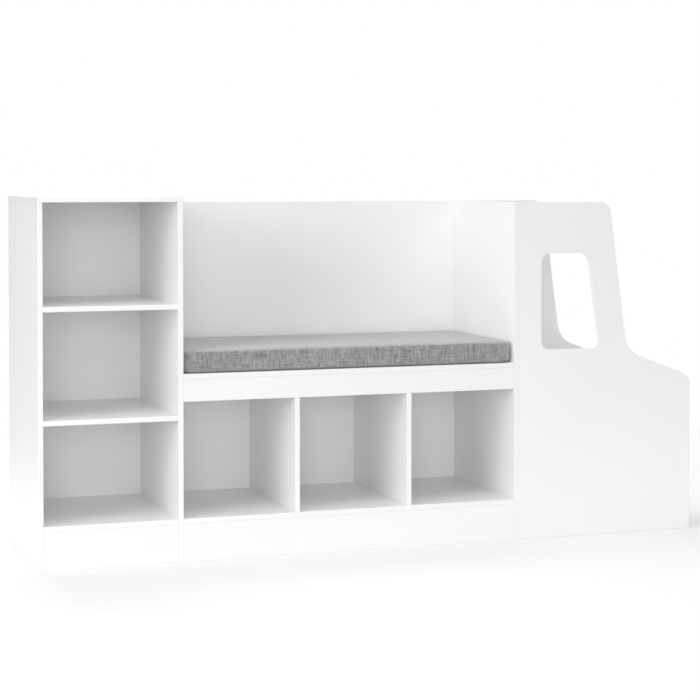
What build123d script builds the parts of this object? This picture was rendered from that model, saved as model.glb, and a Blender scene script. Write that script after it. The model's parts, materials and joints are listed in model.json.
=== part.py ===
from build123d import *

import os

# A free-standing children's storage unit in the shape of a truck: a bookcase tower, a bench with
# cubbies and a cushioned nook, and a truck-cab toy bin. Millimetres. The drawing frame has X from
# the tower's outer face towards the cab, Y from the front face to the back and Z up from the floor.
# export() moves each piece so that the origin is at the middle of the footprint, on the floor.

# ---------------------------------------------------------------- driving dimensions
BOARD = 12.0            # thickness of every structural board
DEPTH = 408.0           # front plane to rear plane
TOWER_HEIGHT = 860.0
TOWER_INNER = 319.0     # clear width of the tower's compartments
BENCH_HEIGHT = 844.0    # bench back, bench right side and cab
CUBBY_WIDTH = 275.0
CUBBIES = 3
CAB_LENGTH = 482.0
FLOOR_TOP = 102.0       # top of the bottom boards
LOWER_SHELF_TOP = 346.0
UPPER_SHELF_TOP = 608.0
APRON_BOTTOM = 378.0
SEAT_TOP = 443.0
BENCH_BACK_INSET = 4.0  # bench back's rear face in front of the rear plane
THIN_BACK = 5.0         # tower back board, slid into grooves
THIN_BACK_INSET = 7.0
GROOVE_DEPTH = 3.5      # stays clear of the bolts that enter the shared upright from the bench

WINDSHIELD_SLOPE = 0.132   # run of the windscreen edge for each millimetre of drop
WINDSHIELD_TOP_X = 251.0   # from the cab's left edge, at the roof
BONNET_SLOPE = 0.379       # drop of the bonnet for each millimetre of run
BONNET_END_Z = 395.0       # where the bonnet line meets the nose
ROOF_RADIUS = 30.0
COWL_RADIUS = 62.0         # hollow between windscreen and bonnet
NOSE_RADIUS = 30.0
WINDOW_LEFT = 62.5         # from the cab's left edge
WINDOW_BOTTOM = 473.0
WINDOW_TOP = 715.0
WINDOW_PILLAR = 75.0       # window's slanted edge to the windscreen edge
WINDOW_RADIUS = 24.0
NOSE_PANEL_TOP = 372.0
BIN_FLOOR_TOP = 102.0

CUSHION_THICK = 55.0
CUSHION_SIDE_GAP = 1.0
CUSHION_FRONT = 3.0
CUSHION_BACK_GAP = 6.0
CUSHION_CORNER = 32.0      # plan radius of the upright corners
CUSHION_EDGE = 9.0         # rounding of the top edges
CUSHION_BASE_EDGE = 3.0
CUSHION_LIFT_GAP = 0.3
COVER_CLOTH = 1.2
ZIP_LENGTH = 700.0
ZIP_WIDTH = 12.0
ZIP_THICK = 1.0
ZIP_TEETH_PROUD = 0.6
ZIP_TEETH_WIDTH = 3.0
ZIP_TEETH_INSET = 6.0      # from each end of the tape
SLIDER_START = 14.0        # from the zip's left end
SLIDER_GAP = 0.3
SLIDER_LENGTH = 10.0
SLIDER_WIDTH = 8.0
SLIDER_THICK = 1.8
SLIDER_ROUND = 2.5
PULL_WIDTH = 5.0
PULL_LENGTH = 18.0
PULL_THICK = 0.8
PULL_ROUND = 1.8
PULL_DROP = 7.0            # the pull's middle below the slider's
PULL_HOLE_RADIUS = 1.2
PULL_HOLE_DROP = 12.0

CAM_RADIUS = 7.5
CAM_DEPTH = 9.5
CAM_SETBACK = 24.0
CAM_CHANNEL_RADIUS = 3.3
CAM_SLOT = 1.4          # width and depth of the cross slot in a cam
CAM_SLOT_LENGTH = 9.0
BOLT_THREAD_RADIUS = 2.5
BOLT_THREAD_LENGTH = 8.0
BOLT_SHANK_RADIUS = 2.6
BOLT_HEAD_RADIUS = 3.0
BOLT_HEAD_LENGTH = 3.0
BOLT_HOLE_RADIUS = 3.2
BOLT_ROOM = 1.0         # free length in a cam ahead of the bolt's head
COVER_RADIUS = 8.5
COVER_THICK = 1.2
DOWEL_RADIUS = 3.0
DOWEL_IN_FACE = 8.0
DOWEL_IN_EDGE = 22.0
SCREW_RADIUS = 2.0
SCREW_HEAD_RADIUS = 4.0
SCREW_HEAD_HEIGHT = 2.2
SCREW_RECESS = 2.4
DIVIDER_SCREW_LENGTH = 45.0
SMALL_SCREW_RADIUS = 1.5
SMALL_SCREW_HEAD_RADIUS = 3.0
SMALL_SCREW_HEAD_HEIGHT = 1.4
SMALL_SCREW_RECESS = 1.6
BACK_SCREW_LENGTH = 18.0
LOOP_SCREW_LENGTH = 11.0
LOOP_SCREW_HEAD_RADIUS = 2.6
LOOP_SCREW_RECESS = 1.4
STRAP_LOOP_WIDTH = 44.0
STRAP_LOOP_HEIGHT = 14.0
STRAP_LOOP_THICK = 1.2
STRAP_LOOP_Z = 812.0
STRAP_LOOP_SHARES = (0.15, 0.85)    # of the bench's clear length
LOOP_SCREW_SPACING = 33.0

FRONT_ROW = 65.0        # cams and dowels from the front plane
REAR_ROW = 343.0
ROW_SHIFT = 32.0        # bench joints step aside from the tower's on the shared upright
BACK_SCREW_SHARES = (0.25, 0.75)    # of the tower's clear width
TOWER_PLINTH_DOWEL_ZS = (27.0, 67.5)
BENCH_PLINTH_DOWEL_ZS = (40.5, 81.0)
BENCH_BACK_CAM_ZS = (150.0, 400.0, 650.0, 800.0)
APRON_DOWEL_SHARES = (0.17, 0.5, 0.83)
CAB_SIDE_CAM_ZS = (120.0, 460.0, 780.0)
END_PANEL_CAM_ZS = (60.0, 320.0)
BIN_FLOOR_CAM_SHARES = (0.2, 0.75)  # of the cab's length

# ---------------------------------------------------------------- worked-out places
SHARED_X = BOARD + TOWER_INNER
BENCH_X = SHARED_X + BOARD
BENCH_INNER = CUBBIES * CUBBY_WIDTH + (CUBBIES - 1) * BOARD
RIGHT_X = BENCH_X + BENCH_INNER
CAB_X = RIGHT_X + BOARD
LENGTH = CAB_X + CAB_LENGTH
SIDE_HEIGHT = TOWER_HEIGHT - BOARD
BENCH_BACK_Y = DEPTH - BENCH_BACK_INSET - BOARD
THIN_BACK_Y = DEPTH - THIN_BACK_INSET - THIN_BACK
CAB_BACK_Y = DEPTH - BOARD
HALF = BOARD / 2
PLINTH_HEIGHT = FLOOR_TOP - BOARD
SEAT_UNDERSIDE = SEAT_TOP - BOARD
DIVIDER_XS = [BENCH_X + (i + 1) * CUBBY_WIDTH + i * BOARD for i in range(CUBBIES - 1)]

RIGHT, LEFT, REARWARD, FORWARD, UP, DOWN = (
    Vector(1, 0, 0), Vector(-1, 0, 0), Vector(0, 1, 0), Vector(0, -1, 0), Vector(0, 0, 1), Vector(0, 0, -1))


def board(x, y, z, wide, deep, high):
    """A rectangular board with its low corner at x, y, z."""
    return Pos(x, y, z) * Box(wide, deep, high, align=(Align.MIN, Align.MIN, Align.MIN))


def rod(radius, start, end):
    """A cylinder along the local Z axis from start to end."""
    return Pos(0, 0, start) * Cylinder(radius, end - start, align=(Align.CENTER, Align.CENTER, Align.MIN))


# ---------------------------------------------------------------- joints and their hardware
hardware = {name: [] for name in (
    "cam_locks", "cam_bolts", "cam_covers", "wood_dowels", "divider_screws", "back_panel_screws",
    "strap_loops", "strap_loop_screws")}
cuts = {}


def cut(node, tool):
    """Remember that this tool is taken out of a board."""
    cuts.setdefault(node, []).append(tool)


def cam_joint(cam_board, bolt_board, at, into, face, covered=False):
    """A cam lock. at is on the bolt's axis where the two boards meet, into points into the board
    that holds the cam and face points out of the side where the cam is turned."""
    local = Location(Plane(origin=at, x_dir=face, z_dir=into))
    across = Rot(0, 90, 0)
    pocket = Pos(HALF - CAM_DEPTH, 0, CAM_SETBACK) * across * rod(CAM_RADIUS, 0, CAM_DEPTH)
    channel = rod(CAM_CHANNEL_RADIUS, CAM_SETBACK - CAM_RADIUS - BOLT_ROOM, CAM_SETBACK + BOLT_HEAD_LENGTH)
    bars = [Box(CAM_SLOT, CAM_SLOT_LENGTH, CAM_SLOT), Box(CAM_SLOT, CAM_SLOT, CAM_SLOT_LENGTH)]
    cam = pocket - channel
    for bar in bars:
        cam -= Pos(HALF - CAM_SLOT / 2, 0, CAM_SETBACK) * bar
    neck = CAM_SETBACK - BOLT_HEAD_LENGTH / 2
    bolt = rod(BOLT_THREAD_RADIUS, -BOLT_THREAD_LENGTH, 0) + rod(BOLT_SHANK_RADIUS, 0, neck)
    bolt += rod(BOLT_HEAD_RADIUS, neck, neck + BOLT_HEAD_LENGTH)
    hardware["cam_locks"].append(local * cam)
    hardware["cam_bolts"].append(local * bolt)
    if covered:
        disc = Pos(HALF, 0, CAM_SETBACK) * across * rod(COVER_RADIUS, 0, COVER_THICK)
        hardware["cam_covers"].append(local * disc)
    cut(cam_board, local * pocket)
    cut(cam_board, local * rod(BOLT_HOLE_RADIUS, 0, CAM_SETBACK))
    cut(bolt_board, local * rod(BOLT_THREAD_RADIUS, -BOLT_THREAD_LENGTH, 0))


def dowel_joint(edge_board, face_board, at, into):
    """A glued dowel that runs from a board's face into the end of the board that meets it."""
    local = Location(Plane(origin=at, z_dir=into))
    dowel = local * rod(DOWEL_RADIUS, -DOWEL_IN_FACE, DOWEL_IN_EDGE)
    hardware["wood_dowels"].append(dowel)
    cut(edge_board, local * rod(DOWEL_RADIUS, 0, DOWEL_IN_EDGE))
    cut(face_board, local * rod(DOWEL_RADIUS, -DOWEL_IN_FACE, 0))


def countersunk_screw(at, into, radius, head_radius, head_height, length, recess):
    """A flat-head wood screw whose head's top is at the point at, with a square drive recess."""
    local = Location(Plane(origin=at, z_dir=into))
    head = Cone(head_radius, radius, head_height, align=(Align.CENTER, Align.CENTER, Align.MIN))
    whole = head + rod(radius, head_height, length)
    return local * whole, local * (whole - Box(recess, recess, head_height))


def end_cams(shelf, left, right, x0, x1, z, face, front, rear):
    """The cams at both ends of a level board, front and rear."""
    for y in (front, rear):
        cam_joint(shelf, left, Vector(x0, y, z), RIGHT, face)
        cam_joint(shelf, right, Vector(x1, y, z), LEFT, face)


# ---------------------------------------------------------------- tower
def tower_left_side():
    side = board(0, 0, 0, BOARD, DEPTH, SIDE_HEIGHT)
    return side - board(BOARD - GROOVE_DEPTH, THIN_BACK_Y, PLINTH_HEIGHT, GROOVE_DEPTH, THIN_BACK, SIDE_HEIGHT)


def shared_upright():
    side = board(SHARED_X, 0, 0, BOARD, DEPTH, SIDE_HEIGHT)
    return side - board(SHARED_X, THIN_BACK_Y, PLINTH_HEIGHT, GROOVE_DEPTH, THIN_BACK, SIDE_HEIGHT)


def tower_top():
    return board(0, 0, SIDE_HEIGHT, BENCH_X, DEPTH, BOARD)


def tower_shelf(top):
    return board(BOARD, 0, top - BOARD, TOWER_INNER, THIN_BACK_Y, BOARD)


def tower_plinth():
    return board(BOARD, 0, 0, TOWER_INNER, BOARD, PLINTH_HEIGHT)


def tower_back():
    wide = TOWER_INNER + 2 * GROOVE_DEPTH
    return board(BOARD - GROOVE_DEPTH, THIN_BACK_Y, PLINTH_HEIGHT, wide, THIN_BACK, SIDE_HEIGHT - PLINTH_HEIGHT)


def join_tower():
    """Cams, dowels and screws that hold the tower."""
    for y in (FRONT_ROW, REAR_ROW):
        cam_joint("tower_left_side", "tower_top", Vector(HALF, y, SIDE_HEIGHT), DOWN, RIGHT, True)
        cam_joint("shared_upright", "tower_top", Vector(SHARED_X + HALF, y, SIDE_HEIGHT), DOWN, LEFT, True)
    levels = {"tower_upper_shelf": UPPER_SHELF_TOP, "tower_lower_shelf": LOWER_SHELF_TOP,
              "tower_bottom": FLOOR_TOP}
    for shelf, top in levels.items():
        end_cams(shelf, "tower_left_side", "shared_upright", BOARD, SHARED_X, top - HALF, DOWN,
                 FRONT_ROW, REAR_ROW)
        for x in [BOARD + TOWER_INNER * share for share in BACK_SCREW_SHARES]:
            back_screw(shelf, x, top - HALF)
    for z in TOWER_PLINTH_DOWEL_ZS:
        dowel_joint("tower_plinth", "tower_left_side", Vector(BOARD, HALF, z), RIGHT)
        dowel_joint("tower_plinth", "shared_upright", Vector(SHARED_X, HALF, z), LEFT)


def back_screw(shelf, x, z):
    """A small screw through the thin back board into the rear edge of a shelf."""
    hole, screw = countersunk_screw(Vector(x, THIN_BACK_Y + THIN_BACK, z), FORWARD, SMALL_SCREW_RADIUS,
                                    SMALL_SCREW_HEAD_RADIUS, SMALL_SCREW_HEAD_HEIGHT, BACK_SCREW_LENGTH,
                                    SMALL_SCREW_RECESS)
    hardware["back_panel_screws"].append(screw)
    cut("tower_back", hole)
    cut(shelf, hole)


# ---------------------------------------------------------------- bench
def bench_level(top):
    return board(BENCH_X, 0, top - BOARD, BENCH_INNER, BENCH_BACK_Y, BOARD)


def seat_apron():
    return board(BENCH_X, 0, APRON_BOTTOM, BENCH_INNER, BOARD, SEAT_UNDERSIDE - APRON_BOTTOM)


def divider(x):
    """An upright between cubbies, notched at the top for the apron."""
    upright = board(x, 0, FLOOR_TOP, BOARD, BENCH_BACK_Y, SEAT_UNDERSIDE - FLOOR_TOP)
    return upright - board(x, 0, APRON_BOTTOM, BOARD, BOARD, SEAT_UNDERSIDE - APRON_BOTTOM)


def bench_plinth():
    return board(BENCH_X, 0, 0, BENCH_INNER, BOARD, PLINTH_HEIGHT)


def bench_back():
    return board(BENCH_X, BENCH_BACK_Y, 0, BENCH_INNER, BOARD, BENCH_HEIGHT)


def bench_right_side():
    return board(RIGHT_X, 0, 0, BOARD, DEPTH, BENCH_HEIGHT)


def join_bench():
    """Cams, dowels and screws that hold the bench."""
    front = FRONT_ROW + ROW_SHIFT
    rear = REAR_ROW - ROW_SHIFT
    for level, top in {"seat_board": SEAT_TOP, "bench_bottom": FLOOR_TOP}.items():
        end_cams(level, "shared_upright", "bench_right_side", BENCH_X, RIGHT_X, top - HALF, DOWN,
                 front, rear)
    for name, x in zip(("divider_left", "divider_right"), DIVIDER_XS):
        for y in (front, rear):
            cam_joint(name, "seat_board", Vector(x + HALF, y, SEAT_UNDERSIDE), DOWN, LEFT)
            dowel_joint(name, "bench_bottom", Vector(x + HALF, y, FLOOR_TOP), UP)
        hole, screw = countersunk_screw(Vector(x + HALF, DEPTH / 2, PLINTH_HEIGHT), UP, SCREW_RADIUS,
                                        SCREW_HEAD_RADIUS, SCREW_HEAD_HEIGHT, DIVIDER_SCREW_LENGTH,
                                        SCREW_RECESS)
        hardware["divider_screws"].append(screw)
        cut("bench_bottom", hole)
        cut(name, hole)
    rear_y = BENCH_BACK_Y + HALF
    for z in BENCH_BACK_CAM_ZS:
        cam_joint("bench_back", "shared_upright", Vector(BENCH_X, rear_y, z), RIGHT, REARWARD)
        cam_joint("bench_back", "bench_right_side", Vector(RIGHT_X, rear_y, z), LEFT, REARWARD)
    for z in BENCH_PLINTH_DOWEL_ZS:
        dowel_joint("bench_plinth", "shared_upright", Vector(BENCH_X, HALF, z), RIGHT)
        dowel_joint("bench_plinth", "bench_right_side", Vector(RIGHT_X, HALF, z), LEFT)
    apron_z = (APRON_BOTTOM + SEAT_UNDERSIDE) / 2
    cam_joint("seat_apron", "shared_upright", Vector(BENCH_X, HALF, apron_z), RIGHT, REARWARD)
    cam_joint("seat_apron", "bench_right_side", Vector(RIGHT_X, HALF, apron_z), LEFT, REARWARD)
    for x in [BENCH_X + BENCH_INNER * share for share in APRON_DOWEL_SHARES]:
        dowel_joint("seat_apron", "seat_board", Vector(x, HALF, SEAT_UNDERSIDE), DOWN)


def join_strap_loops():
    """Two steel loops on the rear of the bench back, where a strap ties the unit to a wall."""
    rear = BENCH_BACK_Y + BOARD
    rise = 2 * STRAP_LOOP_THICK
    for x in [BENCH_X + BENCH_INNER * share for share in STRAP_LOOP_SHARES]:
        centre = Pos(x, rear, STRAP_LOOP_Z)
        plate = Pos(0, STRAP_LOOP_THICK / 2, 0) * Box(STRAP_LOOP_WIDTH, STRAP_LOOP_THICK, STRAP_LOOP_HEIGHT)
        bridge = Pos(0, rise / 2, 0) * Box(STRAP_LOOP_WIDTH / 2, rise, STRAP_LOOP_HEIGHT)
        gap = Pos(0, STRAP_LOOP_THICK / 2, 0) * Box(
            STRAP_LOOP_WIDTH / 2 - 2 * STRAP_LOOP_THICK, STRAP_LOOP_THICK, STRAP_LOOP_HEIGHT)
        loop = centre * (plate + bridge - gap)
        for side in (-1, 1):
            spot = Vector(x + side * LOOP_SCREW_SPACING / 2, rear + STRAP_LOOP_THICK, STRAP_LOOP_Z)
            hole, screw = countersunk_screw(spot, FORWARD, SMALL_SCREW_RADIUS, LOOP_SCREW_HEAD_RADIUS,
                                            STRAP_LOOP_THICK, LOOP_SCREW_LENGTH, LOOP_SCREW_RECESS)
            loop -= hole
            hardware["strap_loop_screws"].append(screw)
            cut("bench_back", hole)
        hardware["strap_loops"].append(loop)


# ---------------------------------------------------------------- truck cab
def cab_outline():
    """The cab's side view in X and Z, from its left edge."""
    nose_x = CAB_LENGTH
    # where the windscreen line and the bonnet line cross
    rise = BENCH_HEIGHT - BONNET_END_Z - BONNET_SLOPE * (nose_x - WINDSHIELD_TOP_X)
    drop = rise / (1 - WINDSHIELD_SLOPE * BONNET_SLOPE)
    cowl = (WINDSHIELD_TOP_X + WINDSHIELD_SLOPE * drop, BENCH_HEIGHT - drop)
    corners = [(0, 0), (nose_x, 0), (nose_x, BONNET_END_Z), cowl, (WINDSHIELD_TOP_X, BENCH_HEIGHT),
               (0, BENCH_HEIGHT)]
    shape = make_face(Polyline(*corners, close=True))
    for corner, radius in ((corners[2], NOSE_RADIUS), (cowl, COWL_RADIUS), (corners[4], ROOF_RADIUS)):
        near = shape.vertices().sort_by_distance(Vector(*corner))[0]
        shape = fillet(near, radius)
    return shape


def window_outline():
    """The window, with its right edge parallel to the windscreen."""
    def pillar_x(z):
        return WINDSHIELD_TOP_X + WINDSHIELD_SLOPE * (BENCH_HEIGHT - z) - WINDOW_PILLAR
    shape = make_face(Polyline((WINDOW_LEFT, WINDOW_BOTTOM), (pillar_x(WINDOW_BOTTOM), WINDOW_BOTTOM),
                               (pillar_x(WINDOW_TOP), WINDOW_TOP), (WINDOW_LEFT, WINDOW_TOP), close=True))
    return fillet(shape.vertices(), WINDOW_RADIUS)


def cab_panel(y):
    """A cab side board with its front face at y."""
    sketch = cab_outline() - window_outline()
    upright = Plane(origin=(CAB_X, y + BOARD, 0), x_dir=(1, 0, 0), z_dir=(0, -1, 0))
    return extrude(upright * sketch, BOARD)


def cab_end_panel():
    return board(LENGTH - BOARD, BOARD, 0, BOARD, CAB_BACK_Y - BOARD, NOSE_PANEL_TOP)


def bin_floor():
    return board(CAB_X, BOARD, BIN_FLOOR_TOP - BOARD, CAB_LENGTH - BOARD, CAB_BACK_Y - BOARD, BOARD)


def join_cab():
    """Cams that hold the cab to the bench and its boards to each other."""
    for z in CAB_SIDE_CAM_ZS:
        front_at = Vector(CAB_X, HALF, z)
        back_at = Vector(CAB_X, CAB_BACK_Y + HALF, z)
        cam_joint("cab_front_panel", "bench_right_side", front_at, RIGHT, REARWARD, True)
        cam_joint("cab_back_panel", "bench_right_side", back_at, RIGHT, FORWARD, True)
    for z in END_PANEL_CAM_ZS:
        x = LENGTH - HALF
        in_bin = z > BIN_FLOOR_TOP
        cam_joint("cab_end_panel", "cab_front_panel", Vector(x, BOARD, z), REARWARD, LEFT, in_bin)
        cam_joint("cab_end_panel", "cab_back_panel", Vector(x, CAB_BACK_Y, z), FORWARD, LEFT, in_bin)
    for share in BIN_FLOOR_CAM_SHARES:
        x = CAB_X + CAB_LENGTH * share
        z = BIN_FLOOR_TOP - HALF
        cam_joint("bin_floor", "cab_front_panel", Vector(x, BOARD, z), REARWARD, DOWN)
        cam_joint("bin_floor", "cab_back_panel", Vector(x, CAB_BACK_Y, z), FORWARD, DOWN)
    for y in (FRONT_ROW + ROW_SHIFT, REAR_ROW - ROW_SHIFT):
        dowel_joint("bin_floor", "cab_end_panel", Vector(LENGTH - BOARD, y, BIN_FLOOR_TOP - HALF), LEFT)


# ---------------------------------------------------------------- cushion
def cushion_solid(inset):
    """A box cushion with rounded upright corners, drawn in by inset all round."""
    wide = BENCH_INNER - 2 * CUSHION_SIDE_GAP - 2 * inset
    deep = BENCH_BACK_Y - CUSHION_BACK_GAP - CUSHION_FRONT - 2 * inset
    base = SEAT_TOP + CUSHION_LIFT_GAP + inset
    high = CUSHION_THICK - 2 * inset
    centre = ((2 * BENCH_X + BENCH_INNER) / 2, (CUSHION_FRONT + BENCH_BACK_Y - CUSHION_BACK_GAP) / 2)
    plan = Pos(*centre, base) * RectangleRounded(wide, deep, CUSHION_CORNER - inset)
    block = extrude(plan, high)
    block = fillet(block.edges().group_by(Axis.Z)[-1], CUSHION_EDGE - inset)
    return chamfer(block.edges().group_by(Axis.Z)[0], CUSHION_BASE_EDGE - inset)


def cushion_cover():
    return cushion_solid(0) - cushion_solid(COVER_CLOTH)


def cushion_foam():
    return cushion_solid(COVER_CLOTH)


def zip_middle():
    return (BENCH_X + BENCH_INNER / 2, BENCH_BACK_Y - CUSHION_BACK_GAP, SEAT_TOP + CUSHION_THICK / 2)


def cover_zip():
    """The closed zip: a flat tape with a raised line of teeth along its middle."""
    x, y, z = zip_middle()
    tape = Pos(x, y + ZIP_THICK / 2, z) * Box(ZIP_LENGTH, ZIP_THICK, ZIP_WIDTH)
    run = ZIP_LENGTH - 2 * ZIP_TEETH_INSET
    teeth = Pos(x, y + ZIP_THICK + ZIP_TEETH_PROUD / 2, z) * Box(run, ZIP_TEETH_PROUD, ZIP_TEETH_WIDTH)
    return tape + teeth


def zip_slider():
    """Slider body and its flat pull, parked at the left end of the zip."""
    x, y, z = zip_middle()
    start = x - ZIP_LENGTH / 2 + SLIDER_START
    face = y + ZIP_THICK + ZIP_TEETH_PROUD + SLIDER_GAP
    saddle = Pos(start, face + SLIDER_THICK / 2, z) * Box(SLIDER_LENGTH, SLIDER_THICK, SLIDER_WIDTH)
    saddle = fillet(saddle.edges().filter_by(Axis.Y), SLIDER_ROUND)
    pull_y = face + SLIDER_THICK + PULL_THICK / 2
    pull = Pos(start, pull_y, z - PULL_DROP) * Box(PULL_WIDTH, PULL_THICK, PULL_LENGTH)
    pull = fillet(pull.edges().filter_by(Axis.Y), PULL_ROUND)
    pull -= Pos(start, pull_y, z - PULL_HOLE_DROP) * Rot(90, 0, 0) * Cylinder(PULL_HOLE_RADIUS, 2 * PULL_THICK)
    return saddle + pull


# ---------------------------------------------------------------- assembly
def make_parts():
    join_tower()
    join_bench()
    join_strap_loops()
    join_cab()
    parts = {
        "tower_left_side": tower_left_side(),
        "shared_upright": shared_upright(),
        "tower_top": tower_top(),
        "tower_upper_shelf": tower_shelf(UPPER_SHELF_TOP),
        "tower_lower_shelf": tower_shelf(LOWER_SHELF_TOP),
        "tower_bottom": tower_shelf(FLOOR_TOP),
        "tower_plinth": tower_plinth(),
        "tower_back": tower_back(),
        "seat_board": bench_level(SEAT_TOP),
        "seat_apron": seat_apron(),
        "divider_left": divider(DIVIDER_XS[0]),
        "divider_right": divider(DIVIDER_XS[1]),
        "bench_bottom": bench_level(FLOOR_TOP),
        "bench_plinth": bench_plinth(),
        "bench_back": bench_back(),
        "bench_right_side": bench_right_side(),
        "cab_front_panel": cab_panel(0),
        "cab_back_panel": cab_panel(CAB_BACK_Y),
        "cab_end_panel": cab_end_panel(),
        "bin_floor": bin_floor(),
        "cushion_cover": cushion_cover(),
        "cushion_foam": cushion_foam(),
        "cover_zip": cover_zip(),
        "zip_slider": zip_slider(),
    }
    for node, tools in cuts.items():
        for tool in tools:
            parts[node] -= tool
    for node, solids in hardware.items():
        parts[node] = Compound(children=solids)
    return parts


def export(parts):
    os.makedirs("parts", exist_ok=True)
    to_origin = Pos(-LENGTH / 2, -DEPTH / 2, 0)
    for node, shape in parts.items():
        export_step(to_origin * shape, f"parts/{node}.step")


export(make_parts())
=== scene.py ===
import json
import math

import bmesh
import bpy
from bpy.props import FloatProperty, FloatVectorProperty, IntProperty, PointerProperty
from mathutils import Matrix, Vector
from mathutils.bvhtree import BVHTree


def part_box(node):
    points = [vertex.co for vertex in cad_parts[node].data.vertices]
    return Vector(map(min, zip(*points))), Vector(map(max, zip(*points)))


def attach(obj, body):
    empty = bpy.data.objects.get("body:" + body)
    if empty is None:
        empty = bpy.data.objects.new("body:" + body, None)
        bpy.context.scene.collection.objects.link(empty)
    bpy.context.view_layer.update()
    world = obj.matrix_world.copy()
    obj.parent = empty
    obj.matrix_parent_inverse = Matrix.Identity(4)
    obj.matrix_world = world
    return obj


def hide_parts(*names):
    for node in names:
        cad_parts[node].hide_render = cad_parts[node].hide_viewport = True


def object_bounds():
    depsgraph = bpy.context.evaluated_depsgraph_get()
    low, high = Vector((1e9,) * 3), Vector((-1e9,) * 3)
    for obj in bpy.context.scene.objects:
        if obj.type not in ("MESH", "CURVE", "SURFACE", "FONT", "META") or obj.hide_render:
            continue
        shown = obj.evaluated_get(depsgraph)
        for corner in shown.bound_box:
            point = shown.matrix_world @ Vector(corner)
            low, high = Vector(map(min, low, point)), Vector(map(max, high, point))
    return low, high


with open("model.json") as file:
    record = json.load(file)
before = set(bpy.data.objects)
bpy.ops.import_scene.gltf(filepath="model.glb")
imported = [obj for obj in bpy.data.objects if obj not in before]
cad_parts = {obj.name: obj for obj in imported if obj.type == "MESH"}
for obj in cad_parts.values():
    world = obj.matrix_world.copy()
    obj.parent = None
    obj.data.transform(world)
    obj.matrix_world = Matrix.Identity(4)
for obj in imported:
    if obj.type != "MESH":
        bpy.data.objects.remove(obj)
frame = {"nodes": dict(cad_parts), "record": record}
CAD_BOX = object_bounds()

bl_info = {
    "name": "Truck storage unit",
    "version": (1, 0, 0),
    "blender": (4, 5, 0),
    "location": "View3D > Sidebar > Storage unit",
    "description": "Boards, hardware and cushion of a truck-shaped storage unit for children",
    "category": "Object",
}

MM = 0.001
LOW, HIGH = CAD_BOX
BOARDS = [name for name in frame["nodes"] if frame["record"] and any(
    part["node"] == name and part["material_slot"] in ("white_board", "thin_back")
    for part in frame["record"]["subparts"])]
SLOT_OF = {part["node"]: part["material_slot"] for part in frame["record"]["subparts"]}
BODY_OF = {node: body for body, nodes in frame["record"]["behaviour"]["bodies"].items()
           for node in nodes}
# the board edges beside these nodes belong to drilled holes
BURIED = ("cam_locks", "cam_bolts", "wood_dowels", "divider_screws", "back_panel_screws",
          "strap_loop_screws")

# boards
WELD = 0.002 * MM
FLAT_ANGLE = math.radians(0.4)
EDGE_ANGLE = math.radians(35)
SHARP_ANGLE = math.radians(50)
HOLE_MARGIN = 1.2 * MM

# cushion
CORNER_RADIUS = 32 * MM
OUTLINE_STEP = 8 * MM
SIDE_GAP = 0.4 * MM
SEAM_DITCH = 1.8 * MM
SEAM_SPREAD = 2.6 * MM
SLACK = 0.6 * MM
SIDE_ZONE = 16 * MM
UNDERCUT = 9 * MM
FOOT = 5.5 * MM
SEAM_STEP = 4 * MM
STITCH_PITCH = 4.6 * MM
COIL_PITCH = 1.6 * MM
# waves of the slack round the sides: turns per metre in radians, start and strength
SLACK_WAVES = ((61.0, 0.0, 0.5), (27.0, 1.3, 0.5), (103.0, 0.4, 0.25))
# places of the cloth's pattern, in metres, that keep the top and the sides apart
CLOTH_ORIGIN = 3.0
SIDE_ORIGIN = 5.0

# stage: the eye from the unit's low left front corner in metres, its turns in degrees, its lens,
# the floor's half width, and the gamma that opens the shaded insides a little
EYE = (-0.7703, -4.3615, 0.9014)
EYE_LOWERED = 1.333
EYE_TURNED = 19.303
LENS = 98.4
LENS_SHIFT = -0.1805
FLOOR_HALF = 4.0
TONE_GAMMA = 1.2


# ------------------------------------------------------------------ settings
class BoardSettings(bpy.types.PropertyGroup):
    edge_radius: FloatProperty(
        name="Edge radius", description="Rounding of every board edge", default=0.7 * MM,
        unit="LENGTH", subtype="DISTANCE", min=0.1 * MM, max=3 * MM, precision=4)
    white: FloatVectorProperty(
        name="White", description="Colour of the laminate", default=(0.895, 0.895, 0.893),
        subtype="COLOR", size=3, min=0, max=1)
    band_white: FloatVectorProperty(
        name="Edge band", description="Colour of the edge banding", default=(0.9, 0.9, 0.898),
        subtype="COLOR", size=3, min=0, max=1)


class CushionSettings(bpy.types.PropertyGroup):
    voxel: FloatProperty(
        name="Voxel", description="Size of the cloth mesh", default=6 * MM, unit="LENGTH",
        subtype="DISTANCE", min=3 * MM, max=20 * MM, precision=4)
    pressure: FloatProperty(
        name="Pressure", description="How hard the filling pushes the cover out", default=4.0, min=0,
        max=20)
    swell: FloatProperty(
        name="Swell", description="The furthest that a point of the cover may move",
        default=2.6 * MM, unit="LENGTH", subtype="DISTANCE", min=0, max=40 * MM, precision=4)
    shrink: FloatProperty(
        name="Start inset", description="How much smaller the cover starts than its finished size",
        default=2.5 * MM, unit="LENGTH", subtype="DISTANCE", min=0, max=20 * MM, precision=4)
    frames: IntProperty(
        name="Frames", description="Steps of the cloth simulation", default=20, min=1, max=60)
    piping: FloatProperty(
        name="Seam ridge", description="Radius of the turned-in cloth along the seams",
        default=1.1 * MM, unit="LENGTH", subtype="DISTANCE", min=0.5 * MM, max=5 * MM, precision=4)
    thread: FloatProperty(
        name="Thread pitch", description="Spacing of the linen's threads", default=1.25 * MM, unit="LENGTH",
        subtype="DISTANCE", min=0.3 * MM, max=4 * MM, precision=5)
    light_yarn: FloatVectorProperty(
        name="Light yarn", description="Lightest thread of the linen", default=(0.41, 0.41, 0.407),
        subtype="COLOR", size=3, min=0, max=1)
    dark_yarn: FloatVectorProperty(
        name="Dark yarn", description="Darkest thread of the linen", default=(0.095, 0.095, 0.097),
        subtype="COLOR", size=3, min=0, max=1)


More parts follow.
